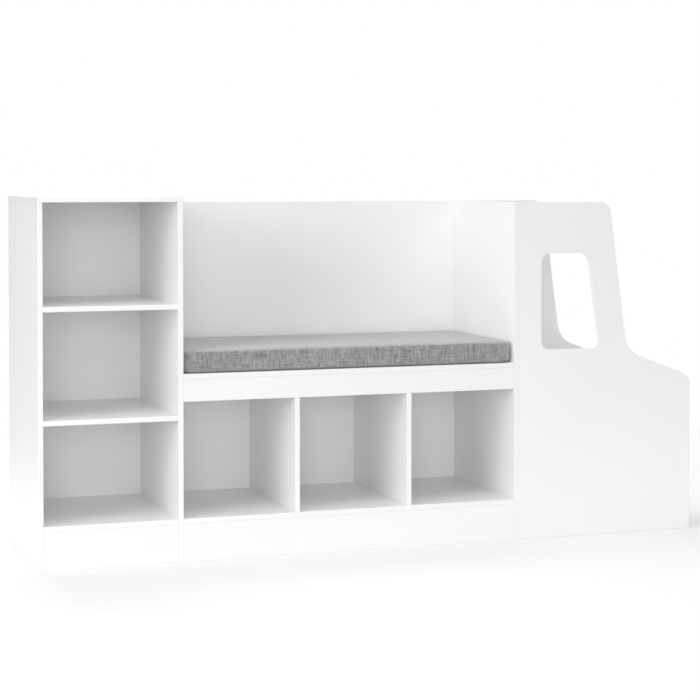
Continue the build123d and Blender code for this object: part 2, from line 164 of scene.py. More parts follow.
def lamp_power(name, title, watts):
    return FloatProperty(
        name=title, description=f"Power of the soft light {name}", default=watts, min=0, unit="POWER")


class StudioSettings(bpy.types.PropertyGroup):
    sky: FloatProperty(
        name="Surroundings", description="Light from the even surroundings", default=0.26, min=0)
    front: lamp_power("in front", "Front", 40.0)
    far_front: lamp_power("far in front, near the eye", "Far front", 120.0)
    left: lamp_power("at the left", "Left", 92.0)
    high_left: lamp_power("high at the left", "High left", 28.0)
    far_left: lamp_power("further round to the left", "Far left", 40.0)
    right: lamp_power("at the right", "Right", 20.0)
    above: lamp_power("above", "Above", 98.0)
    behind: lamp_power("above and behind", "Behind", 88.0)


# azimuth from the front towards the left and elevation in degrees, then distance and size in metres
LAMPS = {
    "front": (6, 9, 6.1, 3.5),
    "far_front": (19, 6, 9.0, 2.5),
    "left": (60, 14, 5.5, 2.5),
    "high_left": (50, 45, 5.5, 3.0),
    "far_left": (80, 14, 5.5, 2.2),
    "right": (-83, 13, 5.4, 3.0),
    "above": (0, 84, 3.8, 4.0),
    "behind": (180, 49, 3.95, 3.0),
}


# ------------------------------------------------------------------ shader maths
class Value:
    """A node's output, wrapped so that shader maths reads as an expression."""

    def __init__(self, paint, output):
        self.paint = paint
        self.output = output

    def math(self, operation, *values):
        return self.paint.node("ShaderNodeMath", {"operation": operation}, dict(enumerate(values)))

    def __add__(self, other):
        return self.math("ADD", self, other)

    def __sub__(self, other):
        return self.math("SUBTRACT", self, other)

    def __rsub__(self, other):
        return self.math("SUBTRACT", other, self)

    def __mul__(self, other):
        return self.math("MULTIPLY", self, other)

    def __truediv__(self, other):
        return self.math("DIVIDE", self, other)

    def __pow__(self, other):
        return self.math("POWER", self, other)

    def __abs__(self):
        return self.math("ABSOLUTE", self)

    def floor(self):
        return self.math("FLOOR", self)

    def sine(self):
        return self.math("SINE", self)

    def clip(self):
        return self.math("MINIMUM", self.math("MAXIMUM", self, 0.0), 1.0)

    __radd__ = __add__
    __rmul__ = __mul__


class Paint:
    """The nodes of a material or world, and the one method that adds to them."""

    def __init__(self, name, kind="materials"):
        self.owner = getattr(bpy.data, kind).new(name)
        self.owner.use_nodes = True
        self.tree = self.owner.node_tree
        self.tree.nodes.clear()

    def node(self, kind, settings=None, inputs=None, output=0):
        made = self.tree.nodes.new(kind)
        for key, setting in (settings or {}).items():
            setattr(made, key, setting)
        for key, given in (inputs or {}).items():
            if isinstance(given, Value):
                self.tree.links.new(given.output, made.inputs[key])
            else:
                made.inputs[key].default_value = given
        return Value(self, made.outputs[output])

    def place(self):
        """Object coordinates, in metres."""
        return self.node("ShaderNodeTexCoord", output="Object")

    def attribute(self, name):
        return self.node("ShaderNodeAttribute", {"attribute_name": name}, output="Fac")

    def split(self, vector):
        return [self.node("ShaderNodeSeparateXYZ", inputs={0: vector}, output=i) for i in range(3)]

    def join(self, x, y, z=0.0):
        return self.node("ShaderNodeCombineXYZ", inputs={0: x, 1: y, 2: z})

    def noise(self, vector, scale, detail=2.0, roughness=0.5, distortion=0.0):
        return self.node("ShaderNodeTexNoise", inputs={
            "Vector": vector, "Scale": scale, "Detail": detail, "Roughness": roughness,
            "Distortion": distortion})

    def random(self, vector):
        return self.node("ShaderNodeTexWhiteNoise", {"noise_dimensions": "3D"}, {"Vector": vector})

    def stretch(self, vector, scale):
        return self.node("ShaderNodeVectorMath", {"operation": "MULTIPLY"}, {0: vector, 1: scale})

    def remap(self, value, low, high, out_low, out_high):
        return self.node("ShaderNodeMapRange",
                         inputs={0: value, 1: low, 2: high, 3: out_low, 4: out_high})

    def mix(self, factor, first, second):
        return self.node("ShaderNodeMix", {"data_type": "RGBA"},
                         {0: factor, 6: first, 7: second}, output=2)

    def bump(self, height, distance, strength=1.0):
        return self.node("ShaderNodeBump", inputs={
            "Height": height, "Distance": distance, "Strength": strength})

    def finish(self, **sockets):
        """The shader itself. Spaces in its socket names are underscores here."""
        inputs = {key.replace("_", " "): given for key, given in sockets.items()}
        shader = self.node("ShaderNodeBsdfPrincipled", inputs=inputs)
        return self.close("ShaderNodeOutputMaterial", shader)

    def close(self, kind, shader):
        """Ends the tree in its output."""
        self.tree.links.new(shader.output, self.tree.nodes.new(kind).inputs["Surface"])
        return self.owner


def rgba(colour, gain=1.0):
    return (*[channel * gain for channel in colour], 1.0)


# ------------------------------------------------------------------ materials
def drifting_white(paint, cloud):
    """The boards' white, a hair lighter or darker with a slow noise."""
    white = bpy.context.scene.unit_boards.white
    return paint.mix(paint.remap(cloud, 0.3, 0.7, 0.0, 1.0), rgba(white, 0.985), rgba(white, 1.01))


def laminate():
    """White laminated board: a faint pearl texture on the faces, a smoother band round the edges
    and a fine shadow line where the band is trimmed."""
    settings = bpy.context.scene.unit_boards
    paint = Paint("white_laminate")
    place = paint.place()
    band = paint.attribute("band")
    trim = 1.0 - abs(band * 2.0 - 1.0)
    pearl = paint.noise(place, 900.0, 2.0, 0.6)
    grime = paint.noise(place, 38.0, 4.0, 0.6)
    face = drifting_white(paint, paint.noise(place, 2.3, 3.0))
    face = paint.mix(paint.remap(pearl, 0.35, 0.65, 0.0, 0.03), face, rgba(settings.white, 0.93))
    colour = paint.mix(paint.remap(band, 0.6, 0.9, 0.0, 1.0), face, rgba(settings.band_white))
    colour = paint.mix(trim * 0.28, colour, rgba(settings.white, 0.72))
    rough = paint.remap(grime, 0.3, 0.7, 0.36, 0.44) - band * 0.07
    height = pearl * (1.0 - band * 0.7) + paint.noise(place, 160.0, 2.0) * 0.35
    return paint.finish(Base_Color=colour, Roughness=rough, IOR=1.5, Specular_IOR_Level=0.42,
                        Normal=paint.bump(height, 0.03 * MM, 0.55))


def painted_backboard():
    """Thin white-painted fibreboard: soft brush of fibres under the paint."""
    settings = bpy.context.scene.unit_boards
    paint = Paint("white_backboard")
    place = paint.place()
    fibres = paint.noise(paint.stretch(place, (240.0, 240.0, 60.0)), 1.0, 4.0, 0.65)
    shade = drifting_white(paint, paint.noise(place, 5.0, 3.0))
    shade = paint.mix(paint.remap(fibres, 0.4, 0.7, 0.0, 0.06), shade, rgba(settings.white, 0.86))
    return paint.finish(Base_Color=shade, Roughness=paint.remap(fibres, 0.3, 0.7, 0.5, 0.62),
                        Normal=paint.bump(fibres, 0.05 * MM, 0.5))


def linen(name="grey_linen", gain=1.0):
    """Mottled grey linen: two sets of uneven threads, each thread with its own shade and slubs.
    The piece's UV map holds metres along the cloth."""
    settings = bpy.context.scene.unit_cushion
    paint = Paint(name)
    pitch = settings.thread
    u, v, _ = paint.split(paint.node("ShaderNodeUVMap", {"uv_map": "cloth"}))
    across, along = u / pitch, v / pitch
    warp_number, weft_number = across.floor(), along.floor()
    warp_shade = paint.random(paint.join(warp_number, 3.0))
    weft_shade = paint.random(paint.join(weft_number, 11.0))
    warp_slub = paint.noise(paint.join(warp_number * 7.3, v * 55.0), 1.0, 3.0, 0.6)
    weft_slub = paint.noise(paint.join(u * 55.0, weft_number * 5.9), 1.0, 3.0, 0.6)
    crossing = warp_number + weft_number
    over = abs(crossing.math("MODULO", crossing, 2.0))
    warp = warp_shade * 0.3 + warp_slub * 0.9 - 0.1
    weft = weft_shade * 0.3 + weft_slub * 0.9 - 0.1
    tone = over * warp + (1.0 - over) * weft

    def streak(finer_across, finer_along, roughness):
        return paint.noise(paint.join(u * finer_across, v * finer_along), 1.0, 2.0, roughness)

    blotch = paint.noise(paint.join(u, v), 95.0, 3.0, 0.6)
    cloud = paint.noise(paint.join(u, v), 7.0, 2.0)
    streaks = (streak(420.0, 40.0, 0.55) * 0.9 + streak(40.0, 420.0, 0.55) * 0.7
               + streak(190.0, 26.0, 0.5) * 1.3 + streak(30.0, 200.0, 0.5) * 0.8
               + blotch + cloud * 0.3 - 2.5)
    tone = (tone * 0.4 + streaks * 0.85 + 0.3).clip()
    colour = paint.mix(tone, rgba(settings.dark_yarn, gain), rgba(settings.light_yarn, gain))
    warp_round = abs((across * math.pi).sine())
    weft_round = abs((along * math.pi).sine())
    weave = over * warp_round * (0.5 + warp_slub) + (1.0 - over) * weft_round * (0.5 + weft_slub)
    return paint.finish(Base_Color=colour, Roughness=paint.remap(weave, 0.0, 1.2, 0.96, 0.82),
                        Sheen_Weight=1.0, Sheen_Roughness=0.35, Specular_IOR_Level=0.2,
                        Normal=paint.bump(weave, 0.35 * MM, 0.8))


def thread():
    """Spun sewing thread with a fine twist."""
    paint = Paint("sewing_thread")
    x, y, z = paint.split(paint.place())
    twist = ((x + y + z) * 9000.0).sine()
    colour = paint.mix(twist * 0.5 + 0.5, (0.3, 0.3, 0.3, 1), (0.46, 0.46, 0.455, 1))
    return paint.finish(Base_Color=colour, Roughness=0.7, Normal=paint.bump(twist, 0.08 * MM, 0.5))


def zip_cloth():
    """Woven nylon tape."""
    paint = Paint("zip_tape_weave")
    place = paint.place()
    x, _, z = paint.split(place)
    ribs = (z * 5200.0).sine() * 0.5 + 0.5
    picks = (x * 7000.0).sine() * 0.5 + 0.5
    fleck = paint.noise(place, 700.0, 2.0)
    colour = paint.mix(ribs * 0.5 + fleck * 0.5, (0.2, 0.2, 0.205, 1), (0.33, 0.33, 0.335, 1))
    return paint.finish(Base_Color=colour, Roughness=0.72,
                        Normal=paint.bump(ribs + picks, 0.1 * MM, 0.5))


def moulded(name, low, high, rough, grain):
    """Moulded plastic with a fine spark-eroded grain."""
    paint = Paint(name)
    place = paint.place()
    grains = paint.noise(place, grain, 3.0, 0.6)
    cloud = paint.noise(place, 60.0, 2.0)
    colour = paint.mix(paint.remap(cloud, 0.3, 0.7, 0.0, 1.0), rgba(low), rgba(high))
    return paint.finish(Base_Color=colour,
                        Roughness=paint.remap(grains, 0.3, 0.7, rough - 0.04, rough + 0.06),
                        Normal=paint.bump(grains, 0.04 * MM, 0.5))


def metal(name, base, rough, scratch, cast=0.0):
    """Bare or plated metal with fine brushing and, if cast, a faint sandy skin."""
    paint = Paint(name)
    place = paint.place()
    lines = paint.noise(paint.stretch(place, (scratch, scratch * 0.08, scratch)), 1.0, 3.0, 0.6)
    sand = paint.noise(place, 2600.0, 2.0, 0.7)
    tarnish = paint.noise(place, 220.0, 3.0)
    colour = paint.mix(paint.remap(tarnish, 0.35, 0.7, 0.0, 1.0), rgba(base, 1.05), rgba(base, 0.78))
    return paint.finish(Base_Color=colour, Metallic=1.0,
                        Roughness=paint.remap(lines, 0.3, 0.7, rough - 0.08, rough + 0.1),
                        Normal=paint.bump(lines * (1.0 - cast) + sand * cast, 0.03 * MM, 0.5))


def beech():
    """Fluted beech dowel wood: pale pink-brown with short dark flecks."""
    paint = Paint("beech_wood")
    place = paint.place()
    grain = paint.noise(paint.stretch(place, (900.0, 900.0, 900.0)), 0.2, 4.0, 0.6, 1.5)
    fleck = paint.noise(paint.stretch(place, (2200.0, 2200.0, 700.0)), 1.0, 2.0, 0.7)
    colour = paint.mix(grain, (0.50, 0.33, 0.19, 1), (0.70, 0.53, 0.36, 1))
    colour = paint.mix(paint.remap(fleck, 0.6, 0.75, 0.0, 0.5), colour, (0.34, 0.2, 0.11, 1))
    return paint.finish(Base_Color=colour, Roughness=0.6, Normal=paint.bump(grain, 0.05 * MM, 0.4))


def studio_floor():
    """Pale seamless floor with a barely uneven tone. It thins out into the white surroundings."""
    paint = Paint("pale_floor")
    place = paint.place()
    cloud = paint.noise(place, 0.8, 2.0)
    colour = paint.mix(cloud, (0.84, 0.84, 0.84, 1), (0.86, 0.86, 0.86, 1))
    x, y, _ = paint.split(place)
    reach = (x * x * 0.5 + y * y) ** 0.5
    return paint.finish(Base_Color=colour, Roughness=0.85, Specular_IOR_Level=0.15,
                        Alpha=paint.remap(reach, 0.9, 2.2, 1.0, 0.0),
                        Emission_Color=(1, 1, 1, 1), Emission_Strength=0.05)


def once(maker, *args):
    """A material is made the first time it is asked for."""
    key = (maker.__name__, *map(str, args))
    if key not in once.made:
        once.made[key] = maker(*args)
    return once.made[key]


once.made = {}


def zinc():
    return once(metal, "zinc_casting", (0.62, 0.63, 0.65), 0.42, 500.0, 0.8)


def steel():
    return once(metal, "plated_steel", (0.66, 0.67, 0.68), 0.3, 900.0, 0.1)


def gunmetal():
    return once(metal, "zip_gunmetal", (0.3, 0.3, 0.31), 0.35, 900.0, 0.3)


def cap_plastic():
    return once(moulded, "cap_plastic", (0.84, 0.84, 0.838), (0.87, 0.87, 0.868), 0.38, 1500.0)


def coil_plastic():
    return once(moulded, "zip_coil_plastic", (0.2, 0.2, 0.205), (0.27, 0.27, 0.275), 0.4, 2500.0)


# ------------------------------------------------------------------ mesh helpers
def add_object(name, mesh, material=None):
    made = bpy.data.objects.new(name, mesh)
    bpy.context.scene.collection.objects.link(made)
    if material:
        made.data.materials.clear()
        made.data.materials.append(material)
    return made


def mesh_from(name, work):
    work.normal_update()
    mesh = bpy.data.meshes.new(name)
    work.to_mesh(mesh)
    work.free()
    return mesh


def freeze(made):
    """Replaces a piece's mesh by its evaluated one, so that no modifier is left."""
    graph = bpy.context.evaluated_depsgraph_get()
    mesh = bpy.data.meshes.new_from_object(
        made.evaluated_get(graph), preserve_all_data_layers=True, depsgraph=graph)
    made.modifiers.clear()
    old = made.data
    made.data = mesh
    bpy.data.meshes.remove(old)
    mesh.name = made.name


def smooth(mesh):
    for polygon in mesh.polygons:
        polygon.use_smooth = True


def islands(node):
    """The low and high corner of each separate solid in a CAD node."""
    work = bmesh.new()
    work.from_mesh(frame["nodes"][node].data)
    bmesh.ops.remove_doubles(work, verts=work.verts, dist=WELD)
    seen, boxes = set(), []
    for start in work.verts:
        if start in seen:
            continue
        seen.add(start)
        stack, points = [start], []
        while stack:
            vertex = stack.pop()
            points.append(vertex.co.copy())
            for edge in vertex.link_edges:
                other = edge.other_vert(vertex)
                if other not in seen:
                    seen.add(other)
                    stack.append(other)
        boxes.append((Vector(map(min, *points)), Vector(map(max, *points))))
    work.free()
    return boxes


def inside_any(point, boxes, margin):
    return any(all(low[i] - margin < point[i] < high[i] + margin for i in range(3))
               for low, high in boxes)


def tube(name, path, radius, sides=8):
    """A closed ring of cord along a closed path of points."""
    work = bmesh.new()
    rings = []
    count = len(path)
    for i, point in enumerate(path):
        ahead = (path[(i + 1) % count] - path[i - 1]).normalized()
        side = ahead.cross(Vector((0, 0, 1))).normalized()
        up = side.cross(ahead)
        ring = []
        for k in range(sides):
            turn = 2 * math.pi * k / sides
            ring.append(work.verts.new(point + radius * (math.cos(turn) * side + math.sin(turn) * up)))
        rings.append(ring)
    for i in range(count):
        here, there = rings[i], rings[(i + 1) % count]
        for k in range(sides):
            n = (k + 1) % sides
            work.faces.new((here[k], here[n], there[n], there[k])).smooth = True
    bmesh.ops.recalc_face_normals(work, faces=work.faces)
    return mesh_from(name, work)


# ------------------------------------------------------------------ repeated units by Geometry Nodes
def repeat_tree(name, along_path):
    """Instances of a unit object, either evenly along a path or at every point of a mesh. The unit's
    Z axis follows the path or the point's facing."""
    tree = bpy.data.node_groups.new(name, "GeometryNodeTree")
    for title, kind in (("Geometry", "Geometry"), ("Unit", "Object"), ("Spacing", "Float"),
                        ("Size jitter", "Float"), ("Seed", "Int"), ("Material", "Material")):
        tree.interface.new_socket(title, in_out="INPUT", socket_type="NodeSocket" + kind)
    tree.interface.new_socket("Geometry", in_out="OUTPUT", socket_type="NodeSocketGeometry")
    nodes, links = tree.nodes, tree.links
    given, result = nodes.new("NodeGroupInput"), nodes.new("NodeGroupOutput")
    align = nodes.new("FunctionNodeAlignRotationToVector")
    align.axis = "Z"
    place = nodes.new("GeometryNodeInstanceOnPoints")
    if along_path:
        curve = nodes.new("GeometryNodeMeshToCurve")
        points = nodes.new("GeometryNodeCurveToPoints")
        points.mode = "LENGTH"
        links.new(given.outputs["Geometry"], curve.inputs["Mesh"])
        links.new(curve.outputs["Curve"], points.inputs["Curve"])
        links.new(given.outputs["Spacing"], points.inputs["Length"])
        links.new(points.outputs["Points"], place.inputs["Points"])
        links.new(points.outputs["Tangent"], align.inputs["Vector"])
    else:
        facing = nodes.new("GeometryNodeInputNamedAttribute")
        facing.data_type = "FLOAT_VECTOR"
        facing.inputs["Name"].default_value = "facing"
        links.new(given.outputs["Geometry"], place.inputs["Points"])
        links.new(facing.outputs["Attribute"], align.inputs["Vector"])
    unit = nodes.new("GeometryNodeObjectInfo")
    unit.transform_space = "ORIGINAL"
    links.new(given.outputs["Unit"], unit.inputs["Object"])
    links.new(unit.outputs["Geometry"], place.inputs["Instance"])
    links.new(align.outputs["Rotation"], place.inputs["Rotation"])
    jitter = nodes.new("FunctionNodeRandomValue")
    jitter.data_type = "FLOAT"
    spread = nodes.new("ShaderNodeMath")
    spread.operation = "SUBTRACT"
    spread.inputs[0].default_value = 1.0
    links.new(given.outputs["Size jitter"], spread.inputs[1])
    low, high = [socket for socket in jitter.inputs
                 if socket.name in ("Min", "Max") and socket.enabled][:2]
    high.default_value = 1.0
    links.new(spread.outputs[0], low)
    links.new(given.outputs["Seed"], jitter.inputs["Seed"])
    links.new([socket for socket in jitter.outputs if socket.enabled][0], place.inputs["Scale"])
    real = nodes.new("GeometryNodeRealizeInstances")
    paint = nodes.new("GeometryNodeSetMaterial")
    links.new(place.outputs["Instances"], real.inputs["Geometry"])
    links.new(real.outputs["Geometry"], paint.inputs["Geometry"])
    links.new(given.outputs["Material"], paint.inputs["Material"])
    links.new(paint.outputs["Geometry"], result.inputs["Geometry"])
    return tree


def repeat(name, base_mesh, unit_mesh, material, spacing=0.01, jitter=0.0, along_path=True):
    """A piece made of repeated units, as one plain mesh."""
    tree = repeat_tree(name + "_tree", along_path)
    unit = add_object(name + "_unit", unit_mesh)
    made = add_object(name, base_mesh)
    modifier = made.modifiers.new("repeat", "NODES")
    modifier.node_group = tree
    values = {"Unit": unit, "Spacing": spacing, "Size jitter": jitter, "Seed": 7,
              "Material": material}
    for item in tree.interface.items_tree:
        if item.in_out == "INPUT" and item.name in values:
            modifier[item.identifier] = values[item.name]
    freeze(made)
    bpy.data.objects.remove(unit)
    smooth(made.data)
    return made


def path_mesh(name, points, closed):
    mesh = bpy.data.meshes.new(name)
    edges = [(i, i + 1) for i in range(len(points) - 1)]
    if closed:
        edges.append((len(points) - 1, 0))
    mesh.from_pydata(points, edges, [])
    return mesh


def lathe(name, profile, turns=24):
    """A solid of revolution about Z from (radius, height) pairs, first and last on the axis."""
    work = bmesh.new()
    rings = []
    for radius, height in profile:
        if radius == 0:
            rings.append([work.verts.new((0, 0, height))])
        else:
            rings.append([work.verts.new((radius * math.cos(2 * math.pi * k / turns),
                                          radius * math.sin(2 * math.pi * k / turns), height))
                          for k in range(turns)])
    for low, high in zip(rings, rings[1:]):
        for k in range(turns):
            n = (k + 1) % turns
            corners = [low[k % len(low)], low[n % len(low)],
                       high[n % len(high)], high[k % len(high)]]
            work.faces.new(list(dict.fromkeys(corners)))
    bmesh.ops.recalc_face_normals(work, faces=work.faces)
    return mesh_from(name, work)


# ------------------------------------------------------------------ boards
def board_mesh(node, radius, holes):
    """The board's own shape with its long edges rounded. Drilled holes keep their sharp rims."""
    low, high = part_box(node)
    size = high - low
    thin = min(range(3), key=lambda i: size[i])
    work = bmesh.new()
    work.from_mesh(frame["nodes"][node].data)
    bmesh.ops.remove_doubles(work, verts=work.verts, dist=WELD)
    bmesh.ops.dissolve_limit(work, angle_limit=FLAT_ANGLE, verts=work.verts, edges=work.edges)
    rounded = [edge for edge in work.edges
               if len(edge.link_faces) == 2 and edge.calc_face_angle() > EDGE_ANGLE
               and not inside_any((edge.verts[0].co + edge.verts[1].co) / 2, holes, HOLE_MARGIN)]
    bmesh.ops.bevel(work, geom=rounded, offset=radius, offset_type="OFFSET", segments=2,
                    profile=0.5, affect="EDGES", clamp_overlap=False)
    mesh = mesh_from(node + "_finish", work)
    mesh.shade_smooth()
    mesh.set_sharp_from_angle(angle=SHARP_ANGLE)
    return mesh, thin


def mark_bands(mesh, thin):
    """Face attribute band: 0 on the broad faces, 1 on the banded edges and half on the trim."""
    broad, narrow = 0.95, 0.05
    band = mesh.attributes.new("band", "FLOAT", "FACE")
    values = []
    for polygon in mesh.polygons:
        flatness = abs(polygon.normal[thin])
        values.append(0.0 if flatness > broad else 1.0 if flatness < narrow else 0.5)
    band.data.foreach_set("value", values)


class UNIT_OT_boards(bpy.types.Operator):
    """Rounded, edge-banded boards on the frame's own panels"""
    bl_idname = "storage_unit.boards"
    bl_label = "Boards"

    def execute(self, context):
        radius = context.scene.unit_boards.edge_radius
        holes = [box for node in BURIED for box in islands(node)]
        for node in BOARDS:
            mesh, thin = board_mesh(node, radius, holes)
            surface = laminate if SLOT_OF[node] == "white_board" else painted_backboard
            made = add_object(node + "_finish", mesh, once(surface))
            weights = made.modifiers.new("flat faces", "WEIGHTED_NORMAL")
            weights.keep_sharp = True
            freeze(made)
            mark_bands(made.data, thin)
            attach(made, BODY_OF[node])
            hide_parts(node)
        return {"FINISHED"}


# ------------------------------------------------------------------ hardware
class UNIT_OT_hardware(bpy.types.Operator):
    """Cams, bolts, dowels, screws, strap loops and cover caps"""
    bl_idname = "storage_unit.hardware"
    bl_label = "Hardware"

    def execute(self, context):
        finishes = {"cam_locks": zinc, "cam_bolts": steel, "divider_screws": steel, "strap_loops": steel,
                    "back_panel_screws": steel, "strap_loop_screws": steel,
                    "zip_slider": gunmetal, "wood_dowels": beech}
        for node, finish in finishes.items():
            data = frame["nodes"][node].data
            data.materials.clear()
            data.materials.append(once(finish))
        self.cover_caps()
        return {"FINISHED"}

    def cover_caps(self):
        """Push-on caps with a soft dome and a thin rim, one over each cam that shows."""
        centres, facings = [], []
        cams = islands("cam_locks")
        for low, high in islands("cam_covers"):
            size = high - low
            thin = min(range(3), key=lambda i: size[i])
            middle = (low + high) / 2
            nearest = min(((a + b) / 2 for a, b in cams), key=lambda cam: (cam - middle).length)
            outward = Vector((0, 0, 0))
            outward[thin] = math.copysign(1, middle[thin] - nearest[thin])
            centres.append(middle - outward * size[thin] / 2)
            facings.append(outward)
        low, high = islands("cam_covers")[0]
        radius, thick = max(high - low) / 2, min(high - low)
        mesh = bpy.data.meshes.new("cap_points")
        mesh.from_pydata(centres, [], [])
        facing = mesh.attributes.new("facing", "FLOAT_VECTOR", "POINT")
        facing.data.foreach_set("vector", [c for v in facings for c in v])
        lift = 0.02 * MM
        rim = [(0, lift), (radius * 0.96, lift), (radius, thick * 0.15), (radius, thick * 0.4)]
        dome = []
        steps = 6
        for i in range(steps + 1):
            turn = math.pi / 2 * i / steps
            dome.append((radius * 0.985 * math.cos(turn), thick * (0.55 + 0.45 * math.sin(turn))))
        dome[-1] = (0, thick)
        unit = lathe("cap_unit", rim + dome, 40)
        caps = repeat("cam_cover_caps", mesh, unit, cap_plastic(), along_path=False)
        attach(caps, BODY_OF["cam_covers"])
        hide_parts("cam_covers")


# ------------------------------------------------------------------ cushion
class Plan:
    """The cushion's outline seen from above: a rectangle with round corners."""

    def __init__(self, low, high, radius):
        self.centre = (low + high) / 2
        self.half = (high - low) / 2
        self.radius = radius
        self.straight_x = self.half.x - radius
        self.straight_y = self.half.y - radius
        self.quarter = self.straight_x + radius * math.pi / 2 + self.straight_y

    def outline(self, inset, step):
        """Points round the outline, drawn in by inset, with about step between them."""
        radius = self.radius - inset
        points = []
        for sign_x, sign_y, start in ((1, -1, -90), (1, 1, 0), (-1, 1, 90), (-1, -1, 180)):
            centre = Vector((self.centre.x + sign_x * self.straight_x,
                             self.centre.y + sign_y * self.straight_y, 0))
            turns = max(4, round(radius * math.pi / 2 / step))
            for k in range(turns + 1):
                turn = math.radians(start + 90 * k / turns)
                points.append(centre + Vector((radius * math.cos(turn), radius * math.sin(turn), 0)))
        whole = []
        for i, point in enumerate(points):
            after = points[(i + 1) % len(points)]
            count = max(1, round((after - point).length / step))
            whole += [point.lerp(after, k / count) for k in range(count)]
        return whole

    def along(self, x, y):
        """Distance round the outline from the middle of the front, and depth inside the outline."""
        dx, dy = abs(x - self.centre.x), abs(y - self.centre.y)
        over_x, over_y = dx - self.straight_x, dy - self.straight_y
        if over_x > 0 and over_y > 0:
            turn = math.atan2(over_x, over_y)
            run = self.straight_x + self.radius * turn
            depth = self.radius - math.hypot(over_x, over_y)
        elif self.half.y - dy < self.half.x - dx:
            run = min(dx, self.straight_x)
            depth = self.half.y - dy
        else:
            run = self.quarter - min(dy, self.straight_y)
            depth = self.half.x - dx
        if y > self.centre.y:
            run = 2 * self.quarter - run
        return math.copysign(run, x - self.centre.x), depth


def pull_in(plan, point, amount):
    """Moves a point towards the middle of the plan, square to the outline."""
    middle, reach_x, reach_y = plan.centre, plan.straight_x, plan.straight_y
    core = Vector((min(max(point.x, middle.x - reach_x), middle.x + reach_x),
                   min(max(point.y, middle.y - reach_y), middle.y + reach_y)))
    out = Vector((point.x, point.y)) - core
    if out.length > 0.3 * plan.radius:
        out = out * (1 - amount / out.length)
        point.x, point.y = core + out


def cushion_block(plan, low_z, high_z, shrink):
    """A plain closed block with round corners and soft edges, as the start of the cover. Its
    levels give the inset and height of each ring, from the bottom up."""
    work = bmesh.new()
    levels = [(shrink + 1 * MM, low_z), (shrink, low_z + 2 * MM), (shrink, high_z - 5 * MM),
              (shrink + 1.2 * MM, high_z - 1.5 * MM), (shrink + 5 * MM, high_z)]
    rings = [[work.verts.new((p.x, p.y, z)) for p in plan.outline(inset, OUTLINE_STEP)]
             for inset, z in levels]
    count = min(len(ring) for ring in rings)
    rings = [ring[:count] for ring in rings]
    for lower, upper in zip(rings, rings[1:]):
        for k in range(count):
            n = (k + 1) % count
            work.faces.new((lower[k], lower[n], upper[n], upper[k]))
    work.faces.new(list(reversed(rings[0])))
    work.faces.new(rings[-1])
    return mesh_from("cushion_block", work)


def even_mesh(made, size):
    """Turns the block into small even faces for the cloth."""
    remesh = made.modifiers.new("voxels", "REMESH")
    remesh.mode = "VOXEL"
    remesh.voxel_size = size
    freeze(made)


def simulate_cover(made, settings):
    """Fills the cover with pressure, without gravity, and keeps each point within the swell."""
    before = [vertex.co.copy() for vertex in made.data.vertices]
    cloth = made.modifiers.new("cloth", "CLOTH")
    fabric = cloth.settings
    fabric.quality = 6
    fabric.mass = 0.35
    fabric.tension_stiffness = 22.0
    fabric.compression_stiffness = 12.0
    fabric.shear_stiffness = 6.0
    fabric.bending_stiffness = 1.2
    fabric.use_pressure = True
    fabric.uniform_pressure_force = settings.pressure
    fabric.effector_weights.gravity = 0
    cloth.point_cache.frame_start = 1
    cloth.point_cache.frame_end = settings.frames
    for step in range(1, settings.frames + 1):
        bpy.context.scene.frame_set(step)
    freeze(made)
    bpy.context.scene.frame_set(1)
    for vertex, old in zip(made.data.vertices, before):
        move = vertex.co - old
        if move.length > settings.swell:
            vertex.co = old + move.normalized() * settings.swell


def fill_nook(made, low, high, clear):
    """Stretches the filled cover to its finished length, depth and height."""
    points = [vertex.co for vertex in made.data.vertices]
    least, most = Vector(map(min, *points)), Vector(map(max, *points))
    for vertex in made.data.vertices:
        for i in range(3):
            share = (vertex.co[i] - least[i]) / (most[i] - least[i])
            vertex.co[i] = low[i] + clear[i] + share * (high[i] - low[i] - 2 * clear[i])


def settle(made, plan, low, high):
    """Lays the cover flat on the seat, tucks its foot under and keeps it inside the nook. The
    lowest part of the foot is pressed flat."""
    pressed, tuck = 0.2, 1.2
    for vertex in made.data.vertices:
        point = vertex.co
        rise = max(0.0, point.z - low.z)
        if rise < FOOT:
            share = 1 - rise / FOOT
            pull_in(plan, point, UNDERCUT * share ** tuck)
            point.z = low.z + max(0.0, rise - pressed * FOOT) / (1 - pressed)
        point.x = min(max(point.x, low.x), high.x)
        point.y = min(max(point.y, low.y), high.y)
        point.z = max(point.z, low.z)


def sew(made, plan, low, high):
    """A ditch at each upright seam of the side strip and the slight slack of a filled cover."""
    seam_run = plan.straight_x - 4 * MM
    fade_in = 60 * MM
    for vertex in made.data.vertices:
        point = vertex.co
        run, depth = plan.along(point.x, point.y)
        height = (point.z - low.z) / (high.z - low.z)
        if depth < SIDE_ZONE and 0.08 < height < 0.97:
            waves = sum(math.sin(run * rate + start) * strength
                        for rate, start, strength in SLACK_WAVES) + 1.0
            amount = SLACK * waves * math.sin(math.pi * height)
            for place in (seam_run, 2 * plan.quarter - seam_run):
                gap = abs(abs(run) - place)
                amount += SEAM_DITCH * math.exp(-(gap / SEAM_SPREAD) ** 2)
            pull_in(plan, point, amount)
        elif height > 0.6:
            inner = min(1.0, (depth - SIDE_ZONE) / fade_in)
            x, y = point.x, point.y
            waves = math.sin(x * 19.0 + y * 9.0) * math.sin(y * 23.0 - x * 5.0)
            point.z += SLACK * waves * inner


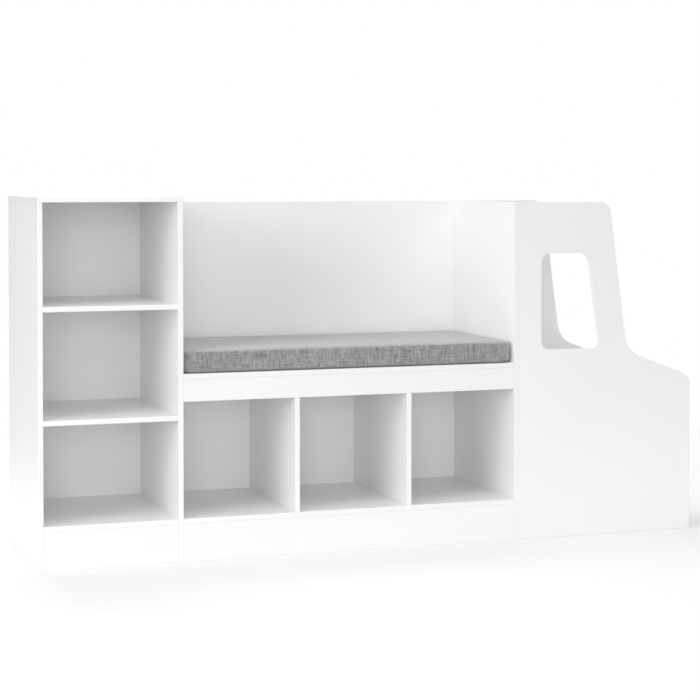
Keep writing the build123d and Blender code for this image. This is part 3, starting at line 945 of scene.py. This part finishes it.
def cloth_uv(mesh, plan):
    """UV map in metres: the place in the plan on top and bottom, and the distance round the
    outline and the height on the sides."""
    level = 0.72
    layer = mesh.uv_layers.new(name="cloth")
    for polygon in mesh.polygons:
        flat = abs(polygon.normal.z) > level
        for loop in polygon.loop_indices:
            point = mesh.vertices[mesh.loops[loop].vertex_index].co
            if flat:
                layer.data[loop].uv = (point.x + CLOTH_ORIGIN, point.y + CLOTH_ORIGIN)
            else:
                run, _ = plan.along(point.x, point.y)
                layer.data[loop].uv = (run + CLOTH_ORIGIN, point.z + SIDE_ORIGIN)


def seam_path(made, plan, z, inset):
    """The seam's line, laid on the cover's surface and smoothed."""
    work = bmesh.new()
    work.from_mesh(made.data)
    tree = BVHTree.FromBMesh(work)
    work.free()
    points = []
    for spot in plan.outline(0.0, SEAM_STEP):
        outward = Vector((spot.x - plan.centre.x, spot.y - plan.centre.y, 0))
        start = Vector((spot.x, spot.y, z)) + outward.normalized() * 4 * MM
        found, normal, _, _ = tree.find_nearest(start)
        points.append(found + normal * inset)
    count = len(points)
    for _ in range(3):
        points = [(points[i - 1] + points[i] * 2 + points[(i + 1) % count]) / 4
                  for i in range(count)]
    return points


class UNIT_OT_cushion(bpy.types.Operator):
    """Linen seat cushion with ridged seams, stitching and a zip along the back"""
    bl_idname = "storage_unit.cushion"
    bl_label = "Cushion"

    def execute(self, context):
        settings = context.scene.unit_cushion
        low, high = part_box("cushion_cover")
        plan = Plan(low, high, CORNER_RADIUS)
        body = BODY_OF["cushion_cover"]
        shrink = settings.shrink
        cover = add_object("cushion", cushion_block(plan, low.z + shrink, high.z - shrink, shrink))
        even_mesh(cover, settings.voxel)
        simulate_cover(cover, settings)
        fill_nook(cover, low, high, Vector((SIDE_GAP, SIDE_GAP, 0)))
        finer = cover.modifiers.new("finer", "SUBSURF")
        finer.levels = finer.render_levels = 1
        freeze(cover)
        sew(cover, plan, low, high)
        settle(cover, plan, low, high)
        smooth(cover.data)
        cloth_uv(cover.data, plan)
        cover.data.materials.clear()
        cover.data.materials.append(once(linen))
        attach(cover, body)
        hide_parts("cushion_cover", "cushion_foam")
        self.seams(cover, plan, low, high, settings, body)
        self.zip(body)
        return {"FINISHED"}

    def seams(self, cover, plan, low, high, settings, body):
        for name, z in (("top", high.z + 2 * MM), ("bottom", low.z + 7.5 * MM)):
            path = seam_path(cover, plan, z, -0.3 * settings.piping)
            cord = add_object("cushion_piping_" + name, tube("piping", path, settings.piping, 10))
            cloth_uv(cord.data, plan)
            # the piping's linen is a 4 % lighter copy of the cover's: a painted highlight along the seam
            # ridges
            cord.data.materials.append(once(linen, "grey_linen_bias", 1.04))
            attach(cord, body)
        stitch_line = seam_path(cover, plan, high.z - 7 * MM, 0.1 * MM)
        stitch = lathe("stitch_unit", [(0, -1.7 * MM), (0.22 * MM, -1.2 * MM), (0.3 * MM, 0),
                                       (0.22 * MM, 1.2 * MM), (0, 1.7 * MM)], 8)
        stitches = repeat("cushion_stitches", path_mesh("stitch_path", stitch_line, True), stitch,
                          once(thread), spacing=STITCH_PITCH, jitter=0.12)
        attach(stitches, body)

    def zip(self, body):
        """Two halves of zip tape with the coil between them."""
        low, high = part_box("cover_zip")
        middle_x, middle_z = (low.x + high.x) / 2, (low.z + high.z) / 2
        slit = 0.25 * MM
        y0, y1 = low.y - 1.5 * MM, low.y + 1.0 * MM
        work = bmesh.new()
        for z0, z1 in ((low.z, middle_z - slit), (middle_z + slit, high.z)):
            place = Matrix.Translation((middle_x, (y0 + y1) / 2, (z0 + z1) / 2))
            size = Matrix.Diagonal((high.x - low.x, y1 - y0, z1 - z0, 1))
            bmesh.ops.create_cube(work, size=1.0, matrix=place @ size)
        bmesh.ops.bevel(work, geom=work.edges[:], offset=0.25 * MM, segments=2, affect="EDGES")
        tape = add_object("zip_tape", mesh_from("zip_tape", work), once(zip_cloth))
        coil = lathe("coil_unit", [(0, -0.55 * MM), (1.3 * MM, -0.5 * MM), (1.45 * MM, 0),
                                   (1.3 * MM, 0.5 * MM), (0, 0.55 * MM)], 10)
        flattened = 0.42
        for vertex in coil.vertices:
            vertex.co.y *= flattened
        coil_y = high.y - 0.62 * MM
        line = [(low.x + 8 * MM, coil_y, middle_z), (high.x - 8 * MM, coil_y, middle_z)]
        teeth = repeat("zip_coil", path_mesh("zip_path", line, False), coil, coil_plastic(),
                       spacing=COIL_PITCH)
        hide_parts("cover_zip")
        for made, slot in ((tape, "zip_tape"), (teeth, "zip_tape")):
            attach(made, body)


# ------------------------------------------------------------------ stage
class UNIT_OT_stage(bpy.types.Operator):
    """Pale floor, soft light and the camera"""
    bl_idname = "storage_unit.stage"
    bl_label = "Stage"

    def execute(self, context):
        studio = context.scene.unit_studio
        work = bmesh.new()
        bmesh.ops.create_grid(work, x_segments=8, y_segments=8, size=FLOOR_HALF)
        floor = add_object("floor", mesh_from("floor", work), once(studio_floor))
        floor.data.transform(Matrix.Translation((0, 0, LOW.z - 0.1 * MM)))
        self.surroundings(context.scene, studio)
        for name, place in LAMPS.items():
            self.lamp(name, getattr(studio, name), *place)
        self.camera(context.scene)
        view = context.scene.view_settings
        view.view_transform = "Standard"
        view.gamma = TONE_GAMMA
        return {"FINISHED"}

    def surroundings(self, scene, studio):
        """Plain white to look at, and a faint even light."""
        paint = Paint("even_white", "worlds")
        seen = paint.node("ShaderNodeLightPath", output="Is Camera Ray")
        strength = seen * (1.0 - studio.sky) + studio.sky
        white = (1, 1, 1, 1)
        scene.world = paint.close("ShaderNodeOutputWorld", paint.node(
            "ShaderNodeBackground", inputs={"Color": white, "Strength": strength}))

    def lamp(self, name, power, azimuth, elevation, distance, size):
        light = bpy.data.lights.new(name, "AREA")
        light.shape = "SQUARE"
        light.size = size
        light.energy = power
        made = bpy.data.objects.new(name, light)
        bpy.context.scene.collection.objects.link(made)
        around, up = math.radians(azimuth), math.radians(elevation)
        way = Vector((-math.sin(around) * math.cos(up), -math.cos(around) * math.cos(up),
                      math.sin(up)))
        made.location = Vector((0, 0, (LOW.z + HIGH.z) / 2)) + way * distance
        made.rotation_euler = (-way).to_track_quat("-Z", "Y").to_euler()
        made.visible_camera = False

    def camera(self, scene):
        """Stands to the left of the unit and a little above its top, and looks slightly down. The
        shift moves the picture's middle down to the unit."""
        lens = bpy.data.cameras.new("camera")
        lens.lens = LENS
        lens.sensor_width = 36.0
        lens.shift_y = LENS_SHIFT
        made = bpy.data.objects.new("camera", lens)
        scene.collection.objects.link(made)
        made.location = [corner + step for corner, step in zip(LOW, EYE)]
        made.rotation_euler = (math.radians(90 - EYE_LOWERED), 0, math.radians(-EYE_TURNED))
        scene.camera = made


class UNIT_PT_panel(bpy.types.Panel):
    """Lists the unit's parts"""
    bl_idname = "UNIT_PT_panel"
    bl_label = "Storage unit"
    bl_space_type = "VIEW_3D"
    bl_region_type = "UI"
    bl_category = "Storage unit"

    def draw(self, context):
        layout = self.layout
        for operator in OPERATORS:
            layout.operator(operator.bl_idname)
        for group in SETTINGS:
            settings = getattr(context.scene, group)
            for name in settings.bl_rna.properties.keys():
                if name not in ("rna_type", "name"):
                    layout.prop(settings, name)


OPERATORS = (UNIT_OT_boards, UNIT_OT_hardware, UNIT_OT_cushion, UNIT_OT_stage)
SETTINGS = {"unit_boards": BoardSettings, "unit_cushion": CushionSettings, "unit_studio": StudioSettings}
CLASSES = (*SETTINGS.values(), *OPERATORS, UNIT_PT_panel)


def register():
    for cls in CLASSES:
        bpy.utils.register_class(cls)
    for name, cls in SETTINGS.items():
        setattr(bpy.types.Scene, name, PointerProperty(type=cls))


def unregister():
    for name in SETTINGS:
        delattr(bpy.types.Scene, name)
    for cls in reversed(CLASSES):
        bpy.utils.unregister_class(cls)


def main():
    register()
    bpy.ops.storage_unit.stage()
    bpy.ops.storage_unit.boards()
    bpy.ops.storage_unit.hardware()
    bpy.ops.storage_unit.cushion()


if __name__ == "__main__":
    main()
